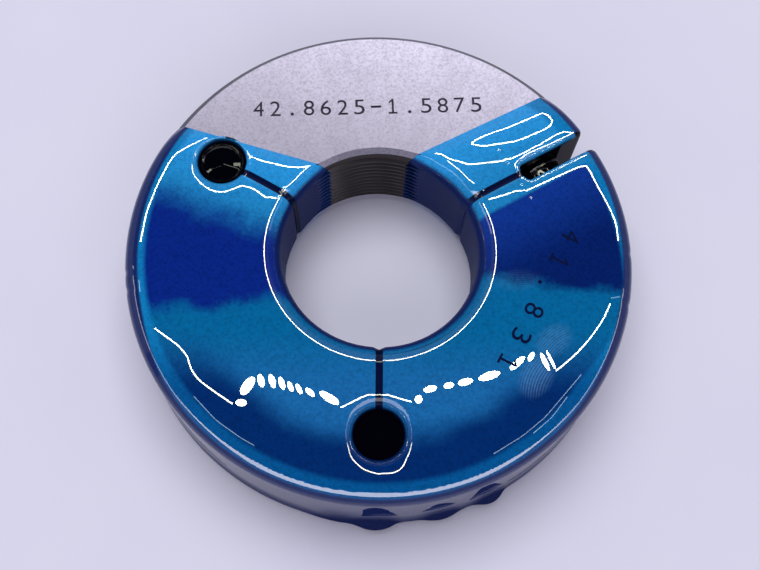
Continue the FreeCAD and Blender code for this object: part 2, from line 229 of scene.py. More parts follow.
def ridges():
    """Geometry nodes that press the thread and the knurl into a turned ring."""
    group = bpy.data.node_groups.new("thread and knurl", "GeometryNodeTree")
    made = group.interface
    made.new_socket("Geometry", in_out="INPUT", socket_type="NodeSocketGeometry")
    made.new_socket("Geometry", in_out="OUTPUT", socket_type="NodeSocketGeometry")
    inputs = {
        "Pitch": THREAD_PITCH * MM, "Minor radius": MINOR_RADIUS * MM, "Thread depth": THREAD_DEPTH * MM,
        "Rim radius": RING_RADIUS * MM, "Knurl teeth": KNURL_TEETH, "Knurl depth": KNURL_DEPTH * MM,
        "Knurl half width": (HALF_THICKNESS - EDGE_CHAMFER) * MM, "Bare from": radians(BARE_ARC[0]),
        "Bare to": radians(BARE_ARC[1]),
    }
    for name, value in inputs.items():
        socket = made.new_socket(name, in_out="INPUT", socket_type="NodeSocketFloat")
        socket.default_value = value
    made.new_socket("Material", in_out="INPUT", socket_type="NodeSocketMaterial")
    n = Tree(group)
    given = group.nodes.new("NodeGroupInput").outputs
    x, y, z = n.split(n.node("GeometryNodeInputPosition").outputs[0])
    radius = n.length(x, y)
    angle = n.math("ARCTAN2", y, x)
    turns = n.math("DIVIDE", angle, tau)

    # A 60 degree thread with flats on its crests and in its roots, rising to the right
    place = n.math("FRACT", n.minus(n.math("DIVIDE", z, given["Pitch"]), turns))
    vee = n.times(n.math("ABSOLUTE", n.minus(place, 0.5)), 2)
    flank = n.times(n.minus(vee, THREAD_CREST), 1 / THREAD_FLANKS, clamp=True)
    groove = n.plus(given["Minor radius"], n.times(flank, given["Thread depth"]))
    in_bore = n.math("LESS_THAN", radius, n.plus(given["Minor radius"], THREADED_REACH * MM))
    threaded = n.math("MAXIMUM", radius, groove)

    # Two families of helical grooves, 30 degrees from the axis, leave pointed diamonds between them
    across = n.times(turns, given["Knurl teeth"])
    along = n.math("DIVIDE", n.times(z, given["Knurl teeth"]),
                   n.times(given["Rim radius"], tau / KNURL_SLOPE))
    teeth = []
    for direction in (1, -1):
        wave = n.math("FRACT", n.plus(across, n.times(along, direction)))
        teeth.append(n.times(n.math("ABSOLUTE", n.minus(wave, 0.5)), 2))
    hollow = n.times(n.minus(1, n.math("MINIMUM", *teeth)), given["Knurl depth"])
    shown = n.between(angle, given["Bare from"], given["Bare to"])
    level = n.math("LESS_THAN", n.math("ABSOLUTE", z), given["Knurl half width"])
    at_rim = n.math("GREATER_THAN", radius, n.minus(given["Rim radius"], 0.01 * MM))
    shown = n.times(n.times(shown, level), at_rim)
    knurled = n.minus(radius, n.times(hollow, shown))
    wanted = n.node("ShaderNodeMix", in_bore, knurled, threaded).outputs[0]
    share = n.math("DIVIDE", wanted, radius)
    moved = n.join(n.times(x, share), n.times(y, share), z)
    placed = n.node("GeometryNodeSetPosition", given["Geometry"], None, moved).outputs[0]
    real = n.node("GeometryNodeRealizeInstances", placed).outputs[0]
    finished = n.node("GeometryNodeSetMaterial", real, None, given["Material"]).outputs[0]
    group.links.new(finished, group.nodes.new("NodeGroupOutput").inputs[0])
    return group


def ring_profile():
    """The ring's section of (radius, height), counter-clockwise, with rows for thread and knurl."""
    straight = HALF_THICKNESS - LEAD_IN
    steps = round(2 * HALF_THICKNESS / THREAD_PITCH * THREAD_ROWS)
    bore = []
    for z in np.linspace(HALF_THICKNESS, -HALF_THICKNESS, steps + 1):
        bore.append((MINOR_RADIUS + max(0, abs(z) - straight), z))
    flat = HALF_THICKNESS - EDGE_CHAMFER
    rim = [(RING_RADIUS - EDGE_CHAMFER, -HALF_THICKNESS), (RING_RADIUS, -flat)]
    rim += [(RING_RADIUS, z) for z in np.linspace(KNURL_INSET - flat, flat - KNURL_INSET, KNURL_ROWS)]
    rim += [(RING_RADIUS, flat), (RING_RADIUS - EDGE_CHAMFER, HALF_THICKNESS)]
    return bore + rim


def ring_angles():
    """Directions of the ring's sections, close together where the knurl is bare."""
    start, end = BARE_ARC
    bare = np.arange(start, end, BARE_STEP)
    coated = np.arange(end, start + 360, COATED_STEP)
    return np.radians(np.concatenate([bare, coated])).tolist()


def outward(angle):
    """The direction away from the axis at an angle in degrees."""
    return Vector((cos(radians(angle)), sin(radians(angle)), 0))


def device_turn():
    """Turns a cutter's +Z onto the device's line, square to the split."""
    return Matrix.Rotation(radians(SPLIT_ANGLE - 90), 4, "Z") @ Matrix.Rotation(radians(90), 4, "Y")


def on_device(radius, low, high):
    """A round cutter on the device's line, between two places along it."""
    cutter = bar("device cutter", radius, low, high)
    cutter.data.transform(device_turn())
    cutter.data.transform(Matrix.Translation(outward(SPLIT_ANGLE) * DEVICE_RADIUS * MM))
    return cutter


def ring_cutters():
    """Saw cuts, terminal holes, the split's wide part and the device's stepped hole."""
    tall = HALF_THICKNESS * 2
    narrow, wide = SLOT_WIDTH / 2, SPLIT_WIDE_WIDTH / 2
    sleeve_start, sleeve_end = SLEEVE_SPAN
    cuts = []
    for angle in FLEX_SLOT_ANGLES:
        cuts.append(block("slot", (0, -narrow, -tall), (TERMINAL_HOLE_RADIUS, narrow, tall), angle))
        hole = bar("terminal", TERMINAL_HOLE_DIAMETER / 2, -tall, tall)
        hole.data.transform(Matrix.Translation(outward(angle) * TERMINAL_HOLE_RADIUS * MM))
        cuts.append(hole)
    cuts.append(block("split", (0, -narrow, -tall), (BEYOND, narrow, tall), SPLIT_ANGLE))
    cuts.append(block("split", (SPLIT_WIDE_START, -wide, -tall), (BEYOND, wide, tall), SPLIT_ANGLE))
    cuts.append(on_device(ADJUSTER_RADIUS, -BEYOND, sleeve_start))
    cuts.append(on_device(SLEEVE_RADIUS, sleeve_start - 1, sleeve_end))
    cuts.append(on_device(PASSAGE_RADIUS, sleeve_end - 1, SHOULDER_END + 1))
    cuts.append(on_device(COUNTERBORE_RADIUS, SHOULDER_END, BEYOND))
    return cuts


ring = lathe("ring", ring_profile(), ring_angles())
steel = bpy.data.materials.new("ground_steel")
press = ring.modifiers.new("thread and knurl", "NODES")
press.node_group = ridges()
for item in press.node_group.interface.items_tree:
    if item.name == "Material":
        press[item.identifier] = steel
baked(ring)
carve(ring, ring_cutters())
ring.name = "ground_ring"

# The size in plain numerals, rolled into the bare face and filled with dark ink.
NUMERALS = "42.8625-1.5875"
NUMERAL_START = (-26.0, 29.6)
NUMERAL_END = (20.5, 31.6)
NUMERAL_HEIGHT = 3.6
NUMERAL_WIDTH = 2.25
NUMERAL_DEPTH = 0.15
# Characters that the typeface lacks in this form, as shares of a character's width and height
OUTLINES = {
    "1": ((-0.42, 0), (0.42, 0), (0.42, 0.12), (0.10, 0.12), (0.10, 1), (-0.06, 1), (-0.40, 0.80),
          (-0.34, 0.70), (-0.10, 0.83), (-0.10, 0.12), (-0.42, 0.12)),
    ".": tuple((0.17 * cos(i * tau / 12), 0.11 + 0.11 * sin(i * tau / 12)) for i in range(12)),
    "-": ((-0.5, 0.42), (0.5, 0.42), (0.5, 0.57), (-0.5, 0.57)),
}


def character(letter, height, width, thickness):
    """One raised character as a closed mesh, centred across, standing on its base line, in millimetres."""
    if letter in OUTLINES:
        outline = [(x * width, y * height) for x, y in OUTLINES[letter]]
        count = len(outline)
        points = [(x, y, z) for z in (-thickness / 2, thickness / 2) for x, y in outline]
        faces = [tuple(range(count)), tuple(range(2 * count - 1, count - 1, -1))]
        faces += [(i, (i + 1) % count, (i + 1) % count + count, i + count) for i in range(count)]
        mesh = bpy.data.meshes.new("letter")
        mesh.from_pydata((np.array(points) * MM).tolist(), [], faces)
        return mesh
    curve = bpy.data.curves.new("letter", "FONT")
    curve.body = letter
    curve.extrude = 0.1  # any depth, because the mesh is scaled to its own below
    holder = link(bpy.data.objects.new("letter", curve))
    mesh = bpy.data.meshes.new_from_object(holder)
    bpy.data.objects.remove(holder)
    points = mesh_points(mesh)
    low, high = points.min(0), points.max(0)
    points = (points - (low + high) / 2) / (high - low) * (width, height, thickness)
    points[:, 1] += height / 2
    mesh.vertices.foreach_set("co", (points * MM).ravel())
    return mesh


def line_of_text(name, text, places, height, width, thickness, level):
    """Characters at (x, y, turn in degrees), at a level in z, merged into one object."""
    work = bmesh.new()
    for letter, (x, y, turn) in zip(text, places):
        mesh = character(letter, height, width, thickness)
        mesh.transform(Matrix.Rotation(radians(turn), 4, "Z"))
        mesh.transform(Matrix.Translation(Vector((x, y, level)) * MM))
        work.from_mesh(mesh)
        bpy.data.meshes.remove(mesh)
    bmesh.ops.remove_doubles(work, verts=work.verts, dist=1e-6)
    bmesh.ops.recalc_face_normals(work, faces=work.faces)
    return worked(name, work)


slope = degrees(atan2(NUMERAL_END[1] - NUMERAL_START[1], NUMERAL_END[0] - NUMERAL_START[0]))
places = [(x, y, slope) for x, y in np.linspace(NUMERAL_START, NUMERAL_END, len(NUMERALS))]
engraving = line_of_text("engraving", NUMERALS, places, NUMERAL_HEIGHT, NUMERAL_WIDTH,
                         2 * NUMERAL_DEPTH, HALF_THICKNESS)
carve(ring, [engraving])

# The steel's look. Ground faces, ink in the numerals, painted shade on the thread and on the outer edge, and
# the film's colour where it is dipped, darker down the bore as painted shade.
DIPS = ((73.8, 14.2), (118.2, 15.0))  # direction of the dry side in degrees, distance from the axis
STEEL = (0.62, 0.59, 0.70)
STEEL_DARK = (0.40, 0.38, 0.46)
# Painted shade for the thread down in the bore
THREAD_SHADE = (0.10, 0.088, 0.09)
INK = (0.045, 0.04, 0.06)
# Painted shade for the outer chamfer and the knurled rim
EDGE_SHADE = (0.10, 0.095, 0.12)
# The film down the bore, darker as painted shade
BORE_FILM_SHADE = (0.006, 0.03, 0.14)
FACE_FILM = (0.04, 0.27, 0.55)
BRUSH_LINES = 26  # marks of the grinding, to one radian
INKED_DEPTH = (0.02, 0.2)  # below the face
INKED_MARGIN = (3, 2.2)  # from the bore's crests and from the rim
GRIND_BUMP = 0.00003


def tint(n, share, first, second):
    """A share of the second colour laid over the first."""
    made = n.tree.nodes.new("ShaderNodeMix")
    made.data_type = "RGBA"
    for name, value in (("Factor_Float", share), ("A_Color", first), ("B_Color", second)):
        socket = next(s for s in made.inputs if s.identifier == name)
        n.give(socket, value if isinstance(value, (float, bpy.types.NodeSocket)) else (*value, 1))
    return next(s for s in made.outputs if s.identifier == "Result_Color")


def noise(n, vector, scale, detail=2.0, roughness=0.5):
    """Cloudy noise about 0.5, at a scale of spots to the millimetre."""
    made = n.node("ShaderNodeTexNoise")
    n.give(made.inputs["Vector"], vector)
    made.inputs["Scale"].default_value = scale
    made.inputs["Detail"].default_value = detail
    made.inputs["Roughness"].default_value = roughness
    return made.outputs["Fac"]


def scaled(n, vector, share):
    """A vector or a colour times a number."""
    made = n.tree.nodes.new("ShaderNodeVectorMath")
    made.operation = "SCALE"
    n.give(made.inputs["Vector"], vector)
    n.give(made.inputs["Scale"], share)
    return made.outputs[0]


def place_nodes(n):
    """The point in millimetres, as a vector and as x, y and z."""
    spot = scaled(n, n.node("ShaderNodeTexCoord").outputs["Object"], 1 / MM)
    return (spot, *n.split(spot))


def line_nodes(n, x, y, angle):
    """How far a point lies along and across a direction, as along() does."""
    c, s = cos(radians(angle)), sin(radians(angle))
    a = n.plus(n.times(x, c), n.times(y, s))
    b = n.minus(n.times(y, c), n.times(x, s))
    return a, b


def wet_nodes(n, x, y):
    """Distance inside the dipped side, negative on bare steel, as wetness() gives it."""
    inside = [n.minus(distance, line_nodes(n, x, y, angle)[0]) for angle, distance in DIPS]
    return n.math("MAXIMUM", *inside)


def painted(material):
    """A material's tree, its shader and the point's place, ready for its look."""
    material.use_nodes = True
    n = Tree(material.node_tree)
    return n, material.node_tree.nodes["Principled BSDF"], *place_nodes(n)


n, shader, spot, x, y, z = painted(steel)
radius = n.length(x, y)
angle = n.math("ARCTAN2", y, x)
arcs = n.join(n.times(angle, BRUSH_LINES), n.times(radius, 0.06), 0.0)
arcs = noise(n, arcs, 1.0, 3.0)
speckle = noise(n, spot, 1.9, 3.0, 0.7)
cloud = noise(n, spot, 0.09, 2.0)
shade = n.plus(n.times(n.ramp(arcs, 0.3, 0.75), 0.2), n.times(n.ramp(speckle, 0.3, 0.6), 0.8))
colour = tint(n, shade, STEEL_DARK, STEEL)
colour = tint(n, n.times(n.ramp(cloud, 0.5, 0.7), 0.25), colour, STEEL_DARK)
top = n.math("ABSOLUTE", z)
sunken = n.between(top, HALF_THICKNESS - INKED_DEPTH[1], HALF_THICKNESS - INKED_DEPTH[0])
on_face = n.between(radius, MINOR_RADIUS + INKED_MARGIN[0], RING_RADIUS - INKED_MARGIN[1])
colour = tint(n, n.times(sunken, on_face), colour, INK)
# Painted shade: the thread down in the bore is darkened
threaded = n.times(n.math("LESS_THAN", radius, MINOR_RADIUS + 1.6),
                   n.math("LESS_THAN", top, HALF_THICKNESS - 1.0))
colour = tint(n, threaded, colour, THREAD_SHADE)
# Painted shade: the outer chamfer and the knurled rim are darkened, as they turn from the light
edge = n.ramp(radius, RING_RADIUS - EDGE_CHAMFER - 0.05, RING_RADIUS - EDGE_CHAMFER + 0.2)
colour = tint(n, edge, colour, EDGE_SHADE)
film = n.ramp(wet_nodes(n, x, y), -0.02, 0.04)
# Painted shade: the film down the bore and its lead-in is darker than on the face
film_blue = tint(n, n.ramp(radius, MINOR_RADIUS + 2.1, MINOR_RADIUS + 2.3), BORE_FILM_SHADE, FACE_FILM)
colour = tint(n, film, colour, film_blue)
n.give(shader.inputs["Base Color"], colour)
shader.inputs["Metallic"].default_value = 1.0
n.give(shader.inputs["Roughness"], n.minus(n.ramp(speckle, 0.3, 0.7, 0.44, 0.34), n.times(film, 0.2)))
grain = noise(n, spot, 4.0, 3.0, 0.6)
bump = n.node("ShaderNodeBump")
bump.inputs["Strength"].default_value = 0.25
bump.inputs["Distance"].default_value = GRIND_BUMP
n.give(bump.inputs["Height"], n.plus(grain, arcs))
n.give(shader.inputs["Normal"], bump.outputs[0])

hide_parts("gauge_ring")
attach(ring, "root")

# Dip coating. A translucent blue peelable skin, dipped twice, one end after the other, which leaves two
# straight edges. It fills the saw cuts, sinks into the terminal holes and thickens along every edge.
COAT_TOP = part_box("dip_coating")[1].z / MM
COAT_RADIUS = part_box("dip_coating")[1].x / MM
COAT_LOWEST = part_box("dip_coating")[0].y / MM
COAT_DRAIN = 0.45
COAT_BORE = 20.07
COAT_MOUTH = 2.3
EDGE_ROUNDING = 2.2
MOUTH_ROUNDING = 1.2
MOUTH_FLARE = 0.45
MOUTH_SAG = (0.55, 0.55, -70)  # mean, swing and direction of the mouth's widening at the faces
SAG_FROM = 5.5  # height from the middle at which the widening starts
BORE_GROOVE = 0.5  # depth of the hollow down the bore over a saw cut
OPENING_START = 34.6
OPENING_HALF = 1.925
OPENING_CORNER = 1.0
LIP_ROUNDING = 1.5
CUP_RADIUS = 5.05
CUP_DEPTH = 2.7
CUP_FILLET = 1.5
CUP_LIP = 2.0
LEAST_LIP = 0.3
SHEATH_RADIUS = 5.365  # of the film over the sleeve, where it crosses the split
SHEATH_HALF = 3.0
SHEATH_BLEND = 0.8
DIP_BUILD_UP = 3.0  # distance over which the film grows to its full thickness
FILM_BORE = 21.2  # where the thin film at a dip's edge starts, below the crests of the thread
SINK = 0.14  # of the face at its edges below its middle
FALL_WIDTH = 3.4
GROOVES = ((-90, 0.05), (150, 0.2), (SPLIT_ANGLE, 0.25))  # direction of a filled cut, depth of the hollow
GROOVE_WIDTH = 0.8
CREASES = (-0.4, -12.8, -169.0, -173.2)  # directions in degrees
CREASE_DEPTH = 0.13
CREASED_FROM = 44.0
# Direction in degrees, reach and half width of each drip
DRIPS = ((-97.0, 0.55, 2.2), (-90.3, 2.2, 3.2), (-75.5, 1.5, 2.5), (-64.0, 1.9, 2.3))
DRIP_HEIGHT = 3.9  # of a drip's middle above the lower face
DRIP_HALF_HEIGHT = 3.3
DRIP_SPREAD = 1.2
DRIP_BLEND = 1.6
FOOT_BEAD = (0.6, 8.8, 2.4)  # how far the drained film stands out, its depth below the middle, its half width
DIMPLE_SPHERE = 9.34  # radius of the ball that would lie in the hollow over the screw's mouth
DIMPLE_DEPTH = 0.9
DIMPLE_BLEND = 0.8
GRID = 0.42  # cell of the grid on which the film's surface is first found
SKIN = 0.42  # thickness of the modelled skin
COAT_TRIANGLES = 92000


def larger(a, b, blend):
    """The maximum of two fields with a rounded join."""
    return np.maximum(a, b) + np.maximum(blend - np.abs(a - b), 0) ** 2 / (4 * blend)


def smaller(a, b, blend):
    """The minimum of two fields with a rounded join."""
    return -larger(-a, -b, blend)


def corner(u, v, radius):
    """Distance from a square corner that is rounded, negative inside."""
    u, v = u + radius, v + radius
    return np.minimum(np.maximum(u, v), 0) + np.hypot(np.maximum(u, 0), np.maximum(v, 0)) - radius


def along(x, y, angle):
    """How far a point lies along a direction from the axis, and how far across it."""
    c, s = cos(radians(angle)), sin(radians(angle))
    return x * c + y * s, y * c - x * s


def wetness(x, y):
    """Distance inside the dipped side, negative on bare steel."""
    inside = [distance - along(x, y, angle)[0] for angle, distance in DIPS]
    return np.maximum(*inside)


def fall(distance):
    """How far the face has begun to fall away towards an edge at this distance, from 0 to 1."""
    return np.exp(-((np.maximum(distance, 0) / FALL_WIDTH) ** 2))


def face_lift(x, y):
    """How far the film's face stands above its nominal height."""
    radius = np.hypot(x, y)
    lift = -SINK + 0.012 * np.sin(0.35 * x + 0.22 * y) + 0.010 * np.sin(0.41 * y - 0.17 * x + 1.3)
    lift += SINK * (1 - fall(COAT_RADIUS - np.hypot(x, y + COAT_DRAIN)) - fall(radius - COAT_BORE - 1.5))
    for angle, depth in GROOVES:
        a, b = along(x, y, angle)
        reach = OPENING_START if angle == SPLIT_ANGLE else TERMINAL_HOLE_RADIUS
        lift -= depth * np.exp(-((b / GROOVE_WIDTH) ** 2)) * (a > 0) * (a < reach)
        if angle != SPLIT_ANGLE:
            lift -= SINK * fall(np.hypot(a - TERMINAL_HOLE_RADIUS, b) - CUP_RADIUS)
        else:
            lift -= SINK * fall(np.abs(b) - OPENING_HALF) * (a > OPENING_START - 2)
    return lift


def steel_field(x, y, z):
    """Distance from the plain steel ring, without its cuts."""
    radius, height = np.hypot(x, y), np.abs(z) - HALF_THICKNESS
    rim = radius - RING_RADIUS
    body = np.maximum(np.maximum(rim, height), (rim + height + EDGE_CHAMFER) * SLANT)
    lead_in = (MINOR_RADIUS - radius + height + LEAD_IN) * SLANT
    return np.maximum(np.maximum(body, FILM_BORE - radius), lead_in)


def coat_field(x, y, z):
    """Distance from the outside of the dip coating, negative inside it."""
    drained = np.hypot(x, y + COAT_DRAIN)
    bearing = np.degrees(np.arctan2(y, x))
    crease = 0
    for angle in CREASES:
        crease = crease + CREASE_DEPTH * np.exp(-(((bearing - angle) * 0.9) ** 2 * 2))
    out, level, half = FOOT_BEAD
    bead = out * np.exp(-(((z + level) / half) ** 2)) * np.clip(-y / COAT_RADIUS, 0, 1)
    rim = drained - COAT_RADIUS + crease * (drained > CREASED_FROM) - bead
    body = corner(rim, np.abs(z) - COAT_TOP - face_lift(x, y), EDGE_ROUNDING)
    for angle, reach, half_width in DRIPS:
        surface = COAT_RADIUS + COAT_DRAIN * cos(radians(angle + 90))
        a, b = along(x, y, angle)
        drop = np.sqrt((b / half_width / DRIP_SPREAD) ** 2 + ((a - surface) / reach) ** 2
                       + ((z + COAT_TOP - DRIP_HEIGHT) / DRIP_HALF_HEIGHT) ** 2) - 1
        body = smaller(body, drop * reach, DRIP_BLEND)
    radius = np.hypot(x, y)
    step = np.abs(z) - (COAT_TOP - COAT_MOUTH)
    mouth = COAT_BORE + MOUTH_FLARE * (step + np.sqrt(step**2 + 1) - np.sqrt(COAT_TOP**2 + 1) + COAT_TOP)
    mean, swing, lowest = MOUTH_SAG
    sag = mean + swing * np.cos(np.radians(bearing - lowest))
    mouth = mouth + sag * np.clip((np.abs(z) - SAG_FROM) / (COAT_TOP - SAG_FROM), 0, 1) ** 2
    for angle, _ in GROOVES:
        a, b = along(x, y, angle)
        mouth = mouth + BORE_GROOVE * np.exp(-((b / GROOVE_WIDTH) ** 2)) * (a > 0)
    body = larger(body, (mouth - radius) * 0.9, MOUTH_ROUNDING)
    share = 1 - np.exp(-np.clip(wetness(x, y), -1.5, 60) / DIP_BUILD_UP)
    body = steel_field(x, y, z) * (1 - share) + body * share

    a, b = along(x, y, SPLIT_ANGLE)
    opening = corner(np.abs(b) - OPENING_HALF, OPENING_START - a, OPENING_CORNER)
    body = larger(body, -opening, LIP_ROUNDING)
    sheath = np.maximum(np.hypot(a - DEVICE_RADIUS, z) - SHEATH_RADIUS, np.abs(b) - SHEATH_HALF)
    body = smaller(body, sheath, SHEATH_BLEND)
    for angle in FLEX_SLOT_ANGLES:
        a, b = along(x, y, angle)
        cup = corner(np.hypot(a - TERMINAL_HOLE_RADIUS, b) - CUP_RADIUS,
                     COAT_TOP - CUP_DEPTH - np.abs(z), CUP_FILLET)
        body = larger(body, -cup, np.maximum(CUP_LIP * share, LEAST_LIP))
    mouth_angle = SPLIT_ANGLE - np.degrees(np.arccos(DEVICE_RADIUS / RING_RADIUS))
    a, b = along(x, y, mouth_angle)
    ball = COAT_RADIUS + DIMPLE_SPHERE - DIMPLE_DEPTH
    hollow = np.sqrt((a - ball) ** 2 + b**2 + z**2) - DIMPLE_SPHERE
    body = larger(body, -hollow, DIMPLE_BLEND)
    return np.maximum(body, -(wetness(x, y) + 0.5))


def surface_net(field, axes):
    """A mesh of quads through the field's zero level, one vertex to each cell that it crosses."""
    inside = field < 0
    cells = tuple(n - 1 for n in field.shape)
    count = np.zeros(cells, np.int8)
    for i in (0, 1):
        for j in (0, 1):
            for k in (0, 1):
                count += inside[i:i + cells[0], j:j + cells[1], k:k + cells[2]]
    mixed = (count > 0) & (count < 8)
    number = np.full(cells, -1)
    number[mixed] = np.arange(mixed.sum())
    total, weight, quads = np.zeros((mixed.sum(), 3)), np.zeros(mixed.sum()), []
    for axis in range(3):
        low = [slice(None)] * 3
        high = [slice(None)] * 3
        low[axis], high[axis] = slice(0, -1), slice(1, None)
        changes = inside[tuple(low)] != inside[tuple(high)]
        at = np.array(np.nonzero(changes))
        other = [n for n in range(3) if n != axis]
        keep = np.all([(at[n] > 0) & (at[n] < cells[n]) for n in other], axis=0)
        at = at[:, keep]
        after = at.copy()
        after[axis] += 1
        f0, f1 = field[tuple(at)], field[tuple(after)]
        point = np.stack([axes[n][at[n]] for n in range(3)], 1).astype(float)
        point[:, axis] += f0 / (f0 - f1) * (axes[axis][after[axis]] - axes[axis][at[axis]])
        ring_of = []
        for du, dv in ((-1, -1), (0, -1), (0, 0), (-1, 0)):
            cell = at.copy()
            cell[other[0]] += du
            cell[other[1]] += dv
            ring_of.append(number[tuple(cell)])
            for n in range(3):
                total[:, n] += np.bincount(ring_of[-1], point[:, n], len(weight))
            weight += np.bincount(ring_of[-1], minlength=len(weight))
        quad = np.stack(ring_of, 1)
        flip = inside[tuple(at)] == (axis == 1)
        quad[flip] = quad[flip][:, ::-1]
        quads.append(quad)
    return total / weight[:, None], np.concatenate(quads)


def gradient(points, step=0.02):
    """The slope of the film's field at points, which is the outward normal on its surface."""
    slopes = []
    for n in range(3):
        ahead, behind = points.copy(), points.copy()
        ahead[:, n] += step
        behind[:, n] -= step
        slopes.append((coat_field(*ahead.T) - coat_field(*behind.T)) / (2 * step))
    return np.stack(slopes, 1)


def settle(points, rounds):
    """Moves points onto the field's zero level."""
    for _ in range(rounds):
        slope = gradient(points)
        move = coat_field(*points.T)[:, None] * slope / np.maximum((slope**2).sum(1), 0.05)[:, None]
        points = points - np.clip(move, -0.2, 0.2)
    return points


def on_film(path):
    """The points of the film's upper face at the points of a flat path."""
    return settle(np.column_stack([path, np.full(len(path), COAT_TOP)]), 3)


def unit(vectors):
    return vectors / np.linalg.norm(vectors, axis=1)[:, None]


def coat_skin():
    """The coating's outside and, a skin's thickness below it, its inside, joined along the dips' edges."""
    low = (-COAT_RADIUS - 1, COAT_LOWEST - 1, -COAT_TOP - 1)
    high = (COAT_RADIUS + 1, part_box("dip_coating")[1].y / MM + 1, COAT_TOP + 1)
    axes = [np.arange(a, b, GRID) for a, b in zip(low, high)]
    y, z = np.meshgrid(axes[1], axes[2], indexing="ij")
    field = np.stack([coat_field(np.full_like(y, x), y, z) for x in axes[0]])
    points, quads = surface_net(field, axes)
    wet = wetness(points[:, 0], points[:, 1]) > -0.4
    quads = quads[wet[quads].all(1)]
    used, index = np.unique(quads, return_inverse=True)
    points = settle(points[used], 2)
    obj = mesh_object("coat", points, index.reshape(-1, 4).tolist())
    thin = obj.modifiers.new("thin", "DECIMATE")
    thin.ratio = COAT_TRIANGLES / (2 * len(quads))
    baked(obj)
    mesh = obj.data
    mesh.calc_loop_triangles()
    triangles = np.empty(len(mesh.loop_triangles) * 3, int)
    mesh.loop_triangles.foreach_get("vertices", triangles)
    triangles = triangles.reshape(-1, 3)
    points = settle(mesh_points(mesh) / MM, 2)
    bpy.data.objects.remove(obj)
    normals = unit(gradient(points))
    count = len(points)
    edges = np.concatenate([triangles[:, [0, 1]], triangles[:, [1, 2]], triangles[:, [2, 0]]])
    key = edges.min(1) * count + edges.max(1)
    _, first, times = np.unique(key, return_index=True, return_counts=True)
    border = edges[first[times == 1]]
    strip = np.stack([border[:, 1], border[:, 0], border[:, 0] + count, border[:, 1] + count], 1)
    faces = triangles.tolist() + (triangles[:, ::-1] + count).tolist() + strip.tolist()
    skin = mesh_object("blue_skin", np.concatenate([points, points - SKIN * normals]), faces)
    skin.data.shade_smooth()
    skin.data.normals_split_custom_set_from_vertices(np.concatenate([normals, -normals]).tolist())
    return skin


coat = coat_skin()

# The film's look. Paler or darker blue partly by how thick it ran and mostly by painted reflection of the room
# in the steel under the film, painted shade over cuts and holes, clear gloss on top.
# The blues of the face below are laid out as painted reflection of the room in the steel under the film
SKY_BLUE = (0.025, 0.34, 0.77)
LOBE_BLUE = (0.015, 0.25, 0.56)
PRINT_BLUE = (0.13, 0.34, 0.66)
NAVY = (0.003, 0.022, 0.235)
NAVY_LIGHT = (0.006, 0.040, 0.29)
NAVY_DEEP = (0.002, 0.016, 0.135)
TEAL = (0.002, 0.145, 0.35)
MID_BLUE = (0.012, 0.155, 0.42)
DEEP_BLUE = (0.001, 0.028, 0.155)
RIM_BLUE = (0.002, 0.10, 0.31)
SIDE_BLUE = (0.006, 0.22, 0.52)
# The film's own deep blue down its walls, with painted reflection of the dark surroundings
WALL_BLUE = (0.010, 0.024, 0.125)
DRIP_NAVY = (0.014, 0.022, 0.09)
# Black painted shade for the pits and the split's gap
PIT_SHADE = (0.0008, 0.0008, 0.003)
# Painted shade over the saw cuts
SLOT_SHADE = (0.003, 0.006, 0.035)
# Where fingers touched the wet film: middle, half sizes, direction in degrees, spacing of the ridges, strength
FINGERPRINTS = (((30.6, -26.8), (5.6, 3.8), 62, 0.55, 0.9), ((34.3, -19.6), (5.0, 3.6), 40, 0.5, 0.6),
                ((27.6, -7.0), (6.0, 2.8), 5, 0.4, 0.22))
PRINT_BEND = 0.05
PRINT_WAVE = (0.22, 0.3)  # swing and mean
WANDER = 9.0  # of the borders between two blues
# Painted shade over a saw cut, as a dark line
SAW_LINE = (0.66, 0.78)  # half width of the dark line over a saw cut, with its soft edge
PIT_EDGE = (4.8, 5.4)
PIT_DULL = (1.0, 0.92)  # of the two pits, in the order of FLEX_SLOT_ANGLES
SAW_DULL = 0.7


def saw_shade_line(n, ahead, across, end):
    """The painted shade over a saw cut, a dark line from the axis to its end."""
    line = n.ramp(n.math("ABSOLUTE", across), *SAW_LINE, 1.0, 0.0)
    return n.times(line, n.between(ahead, 0.0, end))


blue = bpy.data.materials.new("blue_coating")
n, shader, spot, x, y, z = painted(blue)
radius = n.length(x, y)
drained = n.length(x, n.plus(y, COAT_DRAIN))
height = n.math("ABSOLUTE", z)
left = n.math("LESS_THAN", x, 0.0)
wobble = n.times(n.minus(noise(n, spot, 0.1, 4.0, 0.6), 0.5), WANDER)

# Painted reflection: the left side runs from pale blue by the dip's edge through navy to teal, the right side
# from navy to teal, as the steel under the film mirrors bright and dark parts of the room
upper = n.plus(n.minus(y, n.math("MULTIPLY_ADD", x, -0.33, -5.0)), wobble)
split_a, split_b = line_nodes(n, x, y, SPLIT_ANGLE)
pale_left = n.ramp(upper, -3.0, 6.0)
pale_right = n.ramp(split_b, -5.2, -4.2)
pale_reflection = tint(n, left, pale_right, pale_left)
lower_left = n.minus(n.math("MULTIPLY_ADD", x, 0.12, -8.3), y)
lower_right = n.minus(n.math("MULTIPLY_ADD", x, -0.13, -2.5), y)
lower = n.plus(tint(n, left, lower_right, lower_left), wobble)
sky = tint(n, n.ramp(wet_nodes(n, x, y), 2.0, 16.0), SKY_BLUE, LOBE_BLUE)
navy_reflection = tint(n, left, tint(n, n.ramp(split_b, -21.0, -5.0), NAVY_DEEP, NAVY_LIGHT), NAVY)
colour = tint(n, pale_reflection, navy_reflection, sky)
colour = tint(n, n.ramp(lower, -1.5, 2.5), colour, TEAL)
# Painted reflection as well: mid blue over the front, with a darker band inside the rim
front = n.ramp(n.times(y, -1.0), 17.0, 31.0)
colour = tint(n, front, colour, MID_BLUE)
dark_reflection_band = n.ramp(n.plus(drained, n.times(wobble, 0.6)), 35.5, 42.5)
colour = tint(n, n.times(dark_reflection_band, front), colour, DEEP_BLUE)
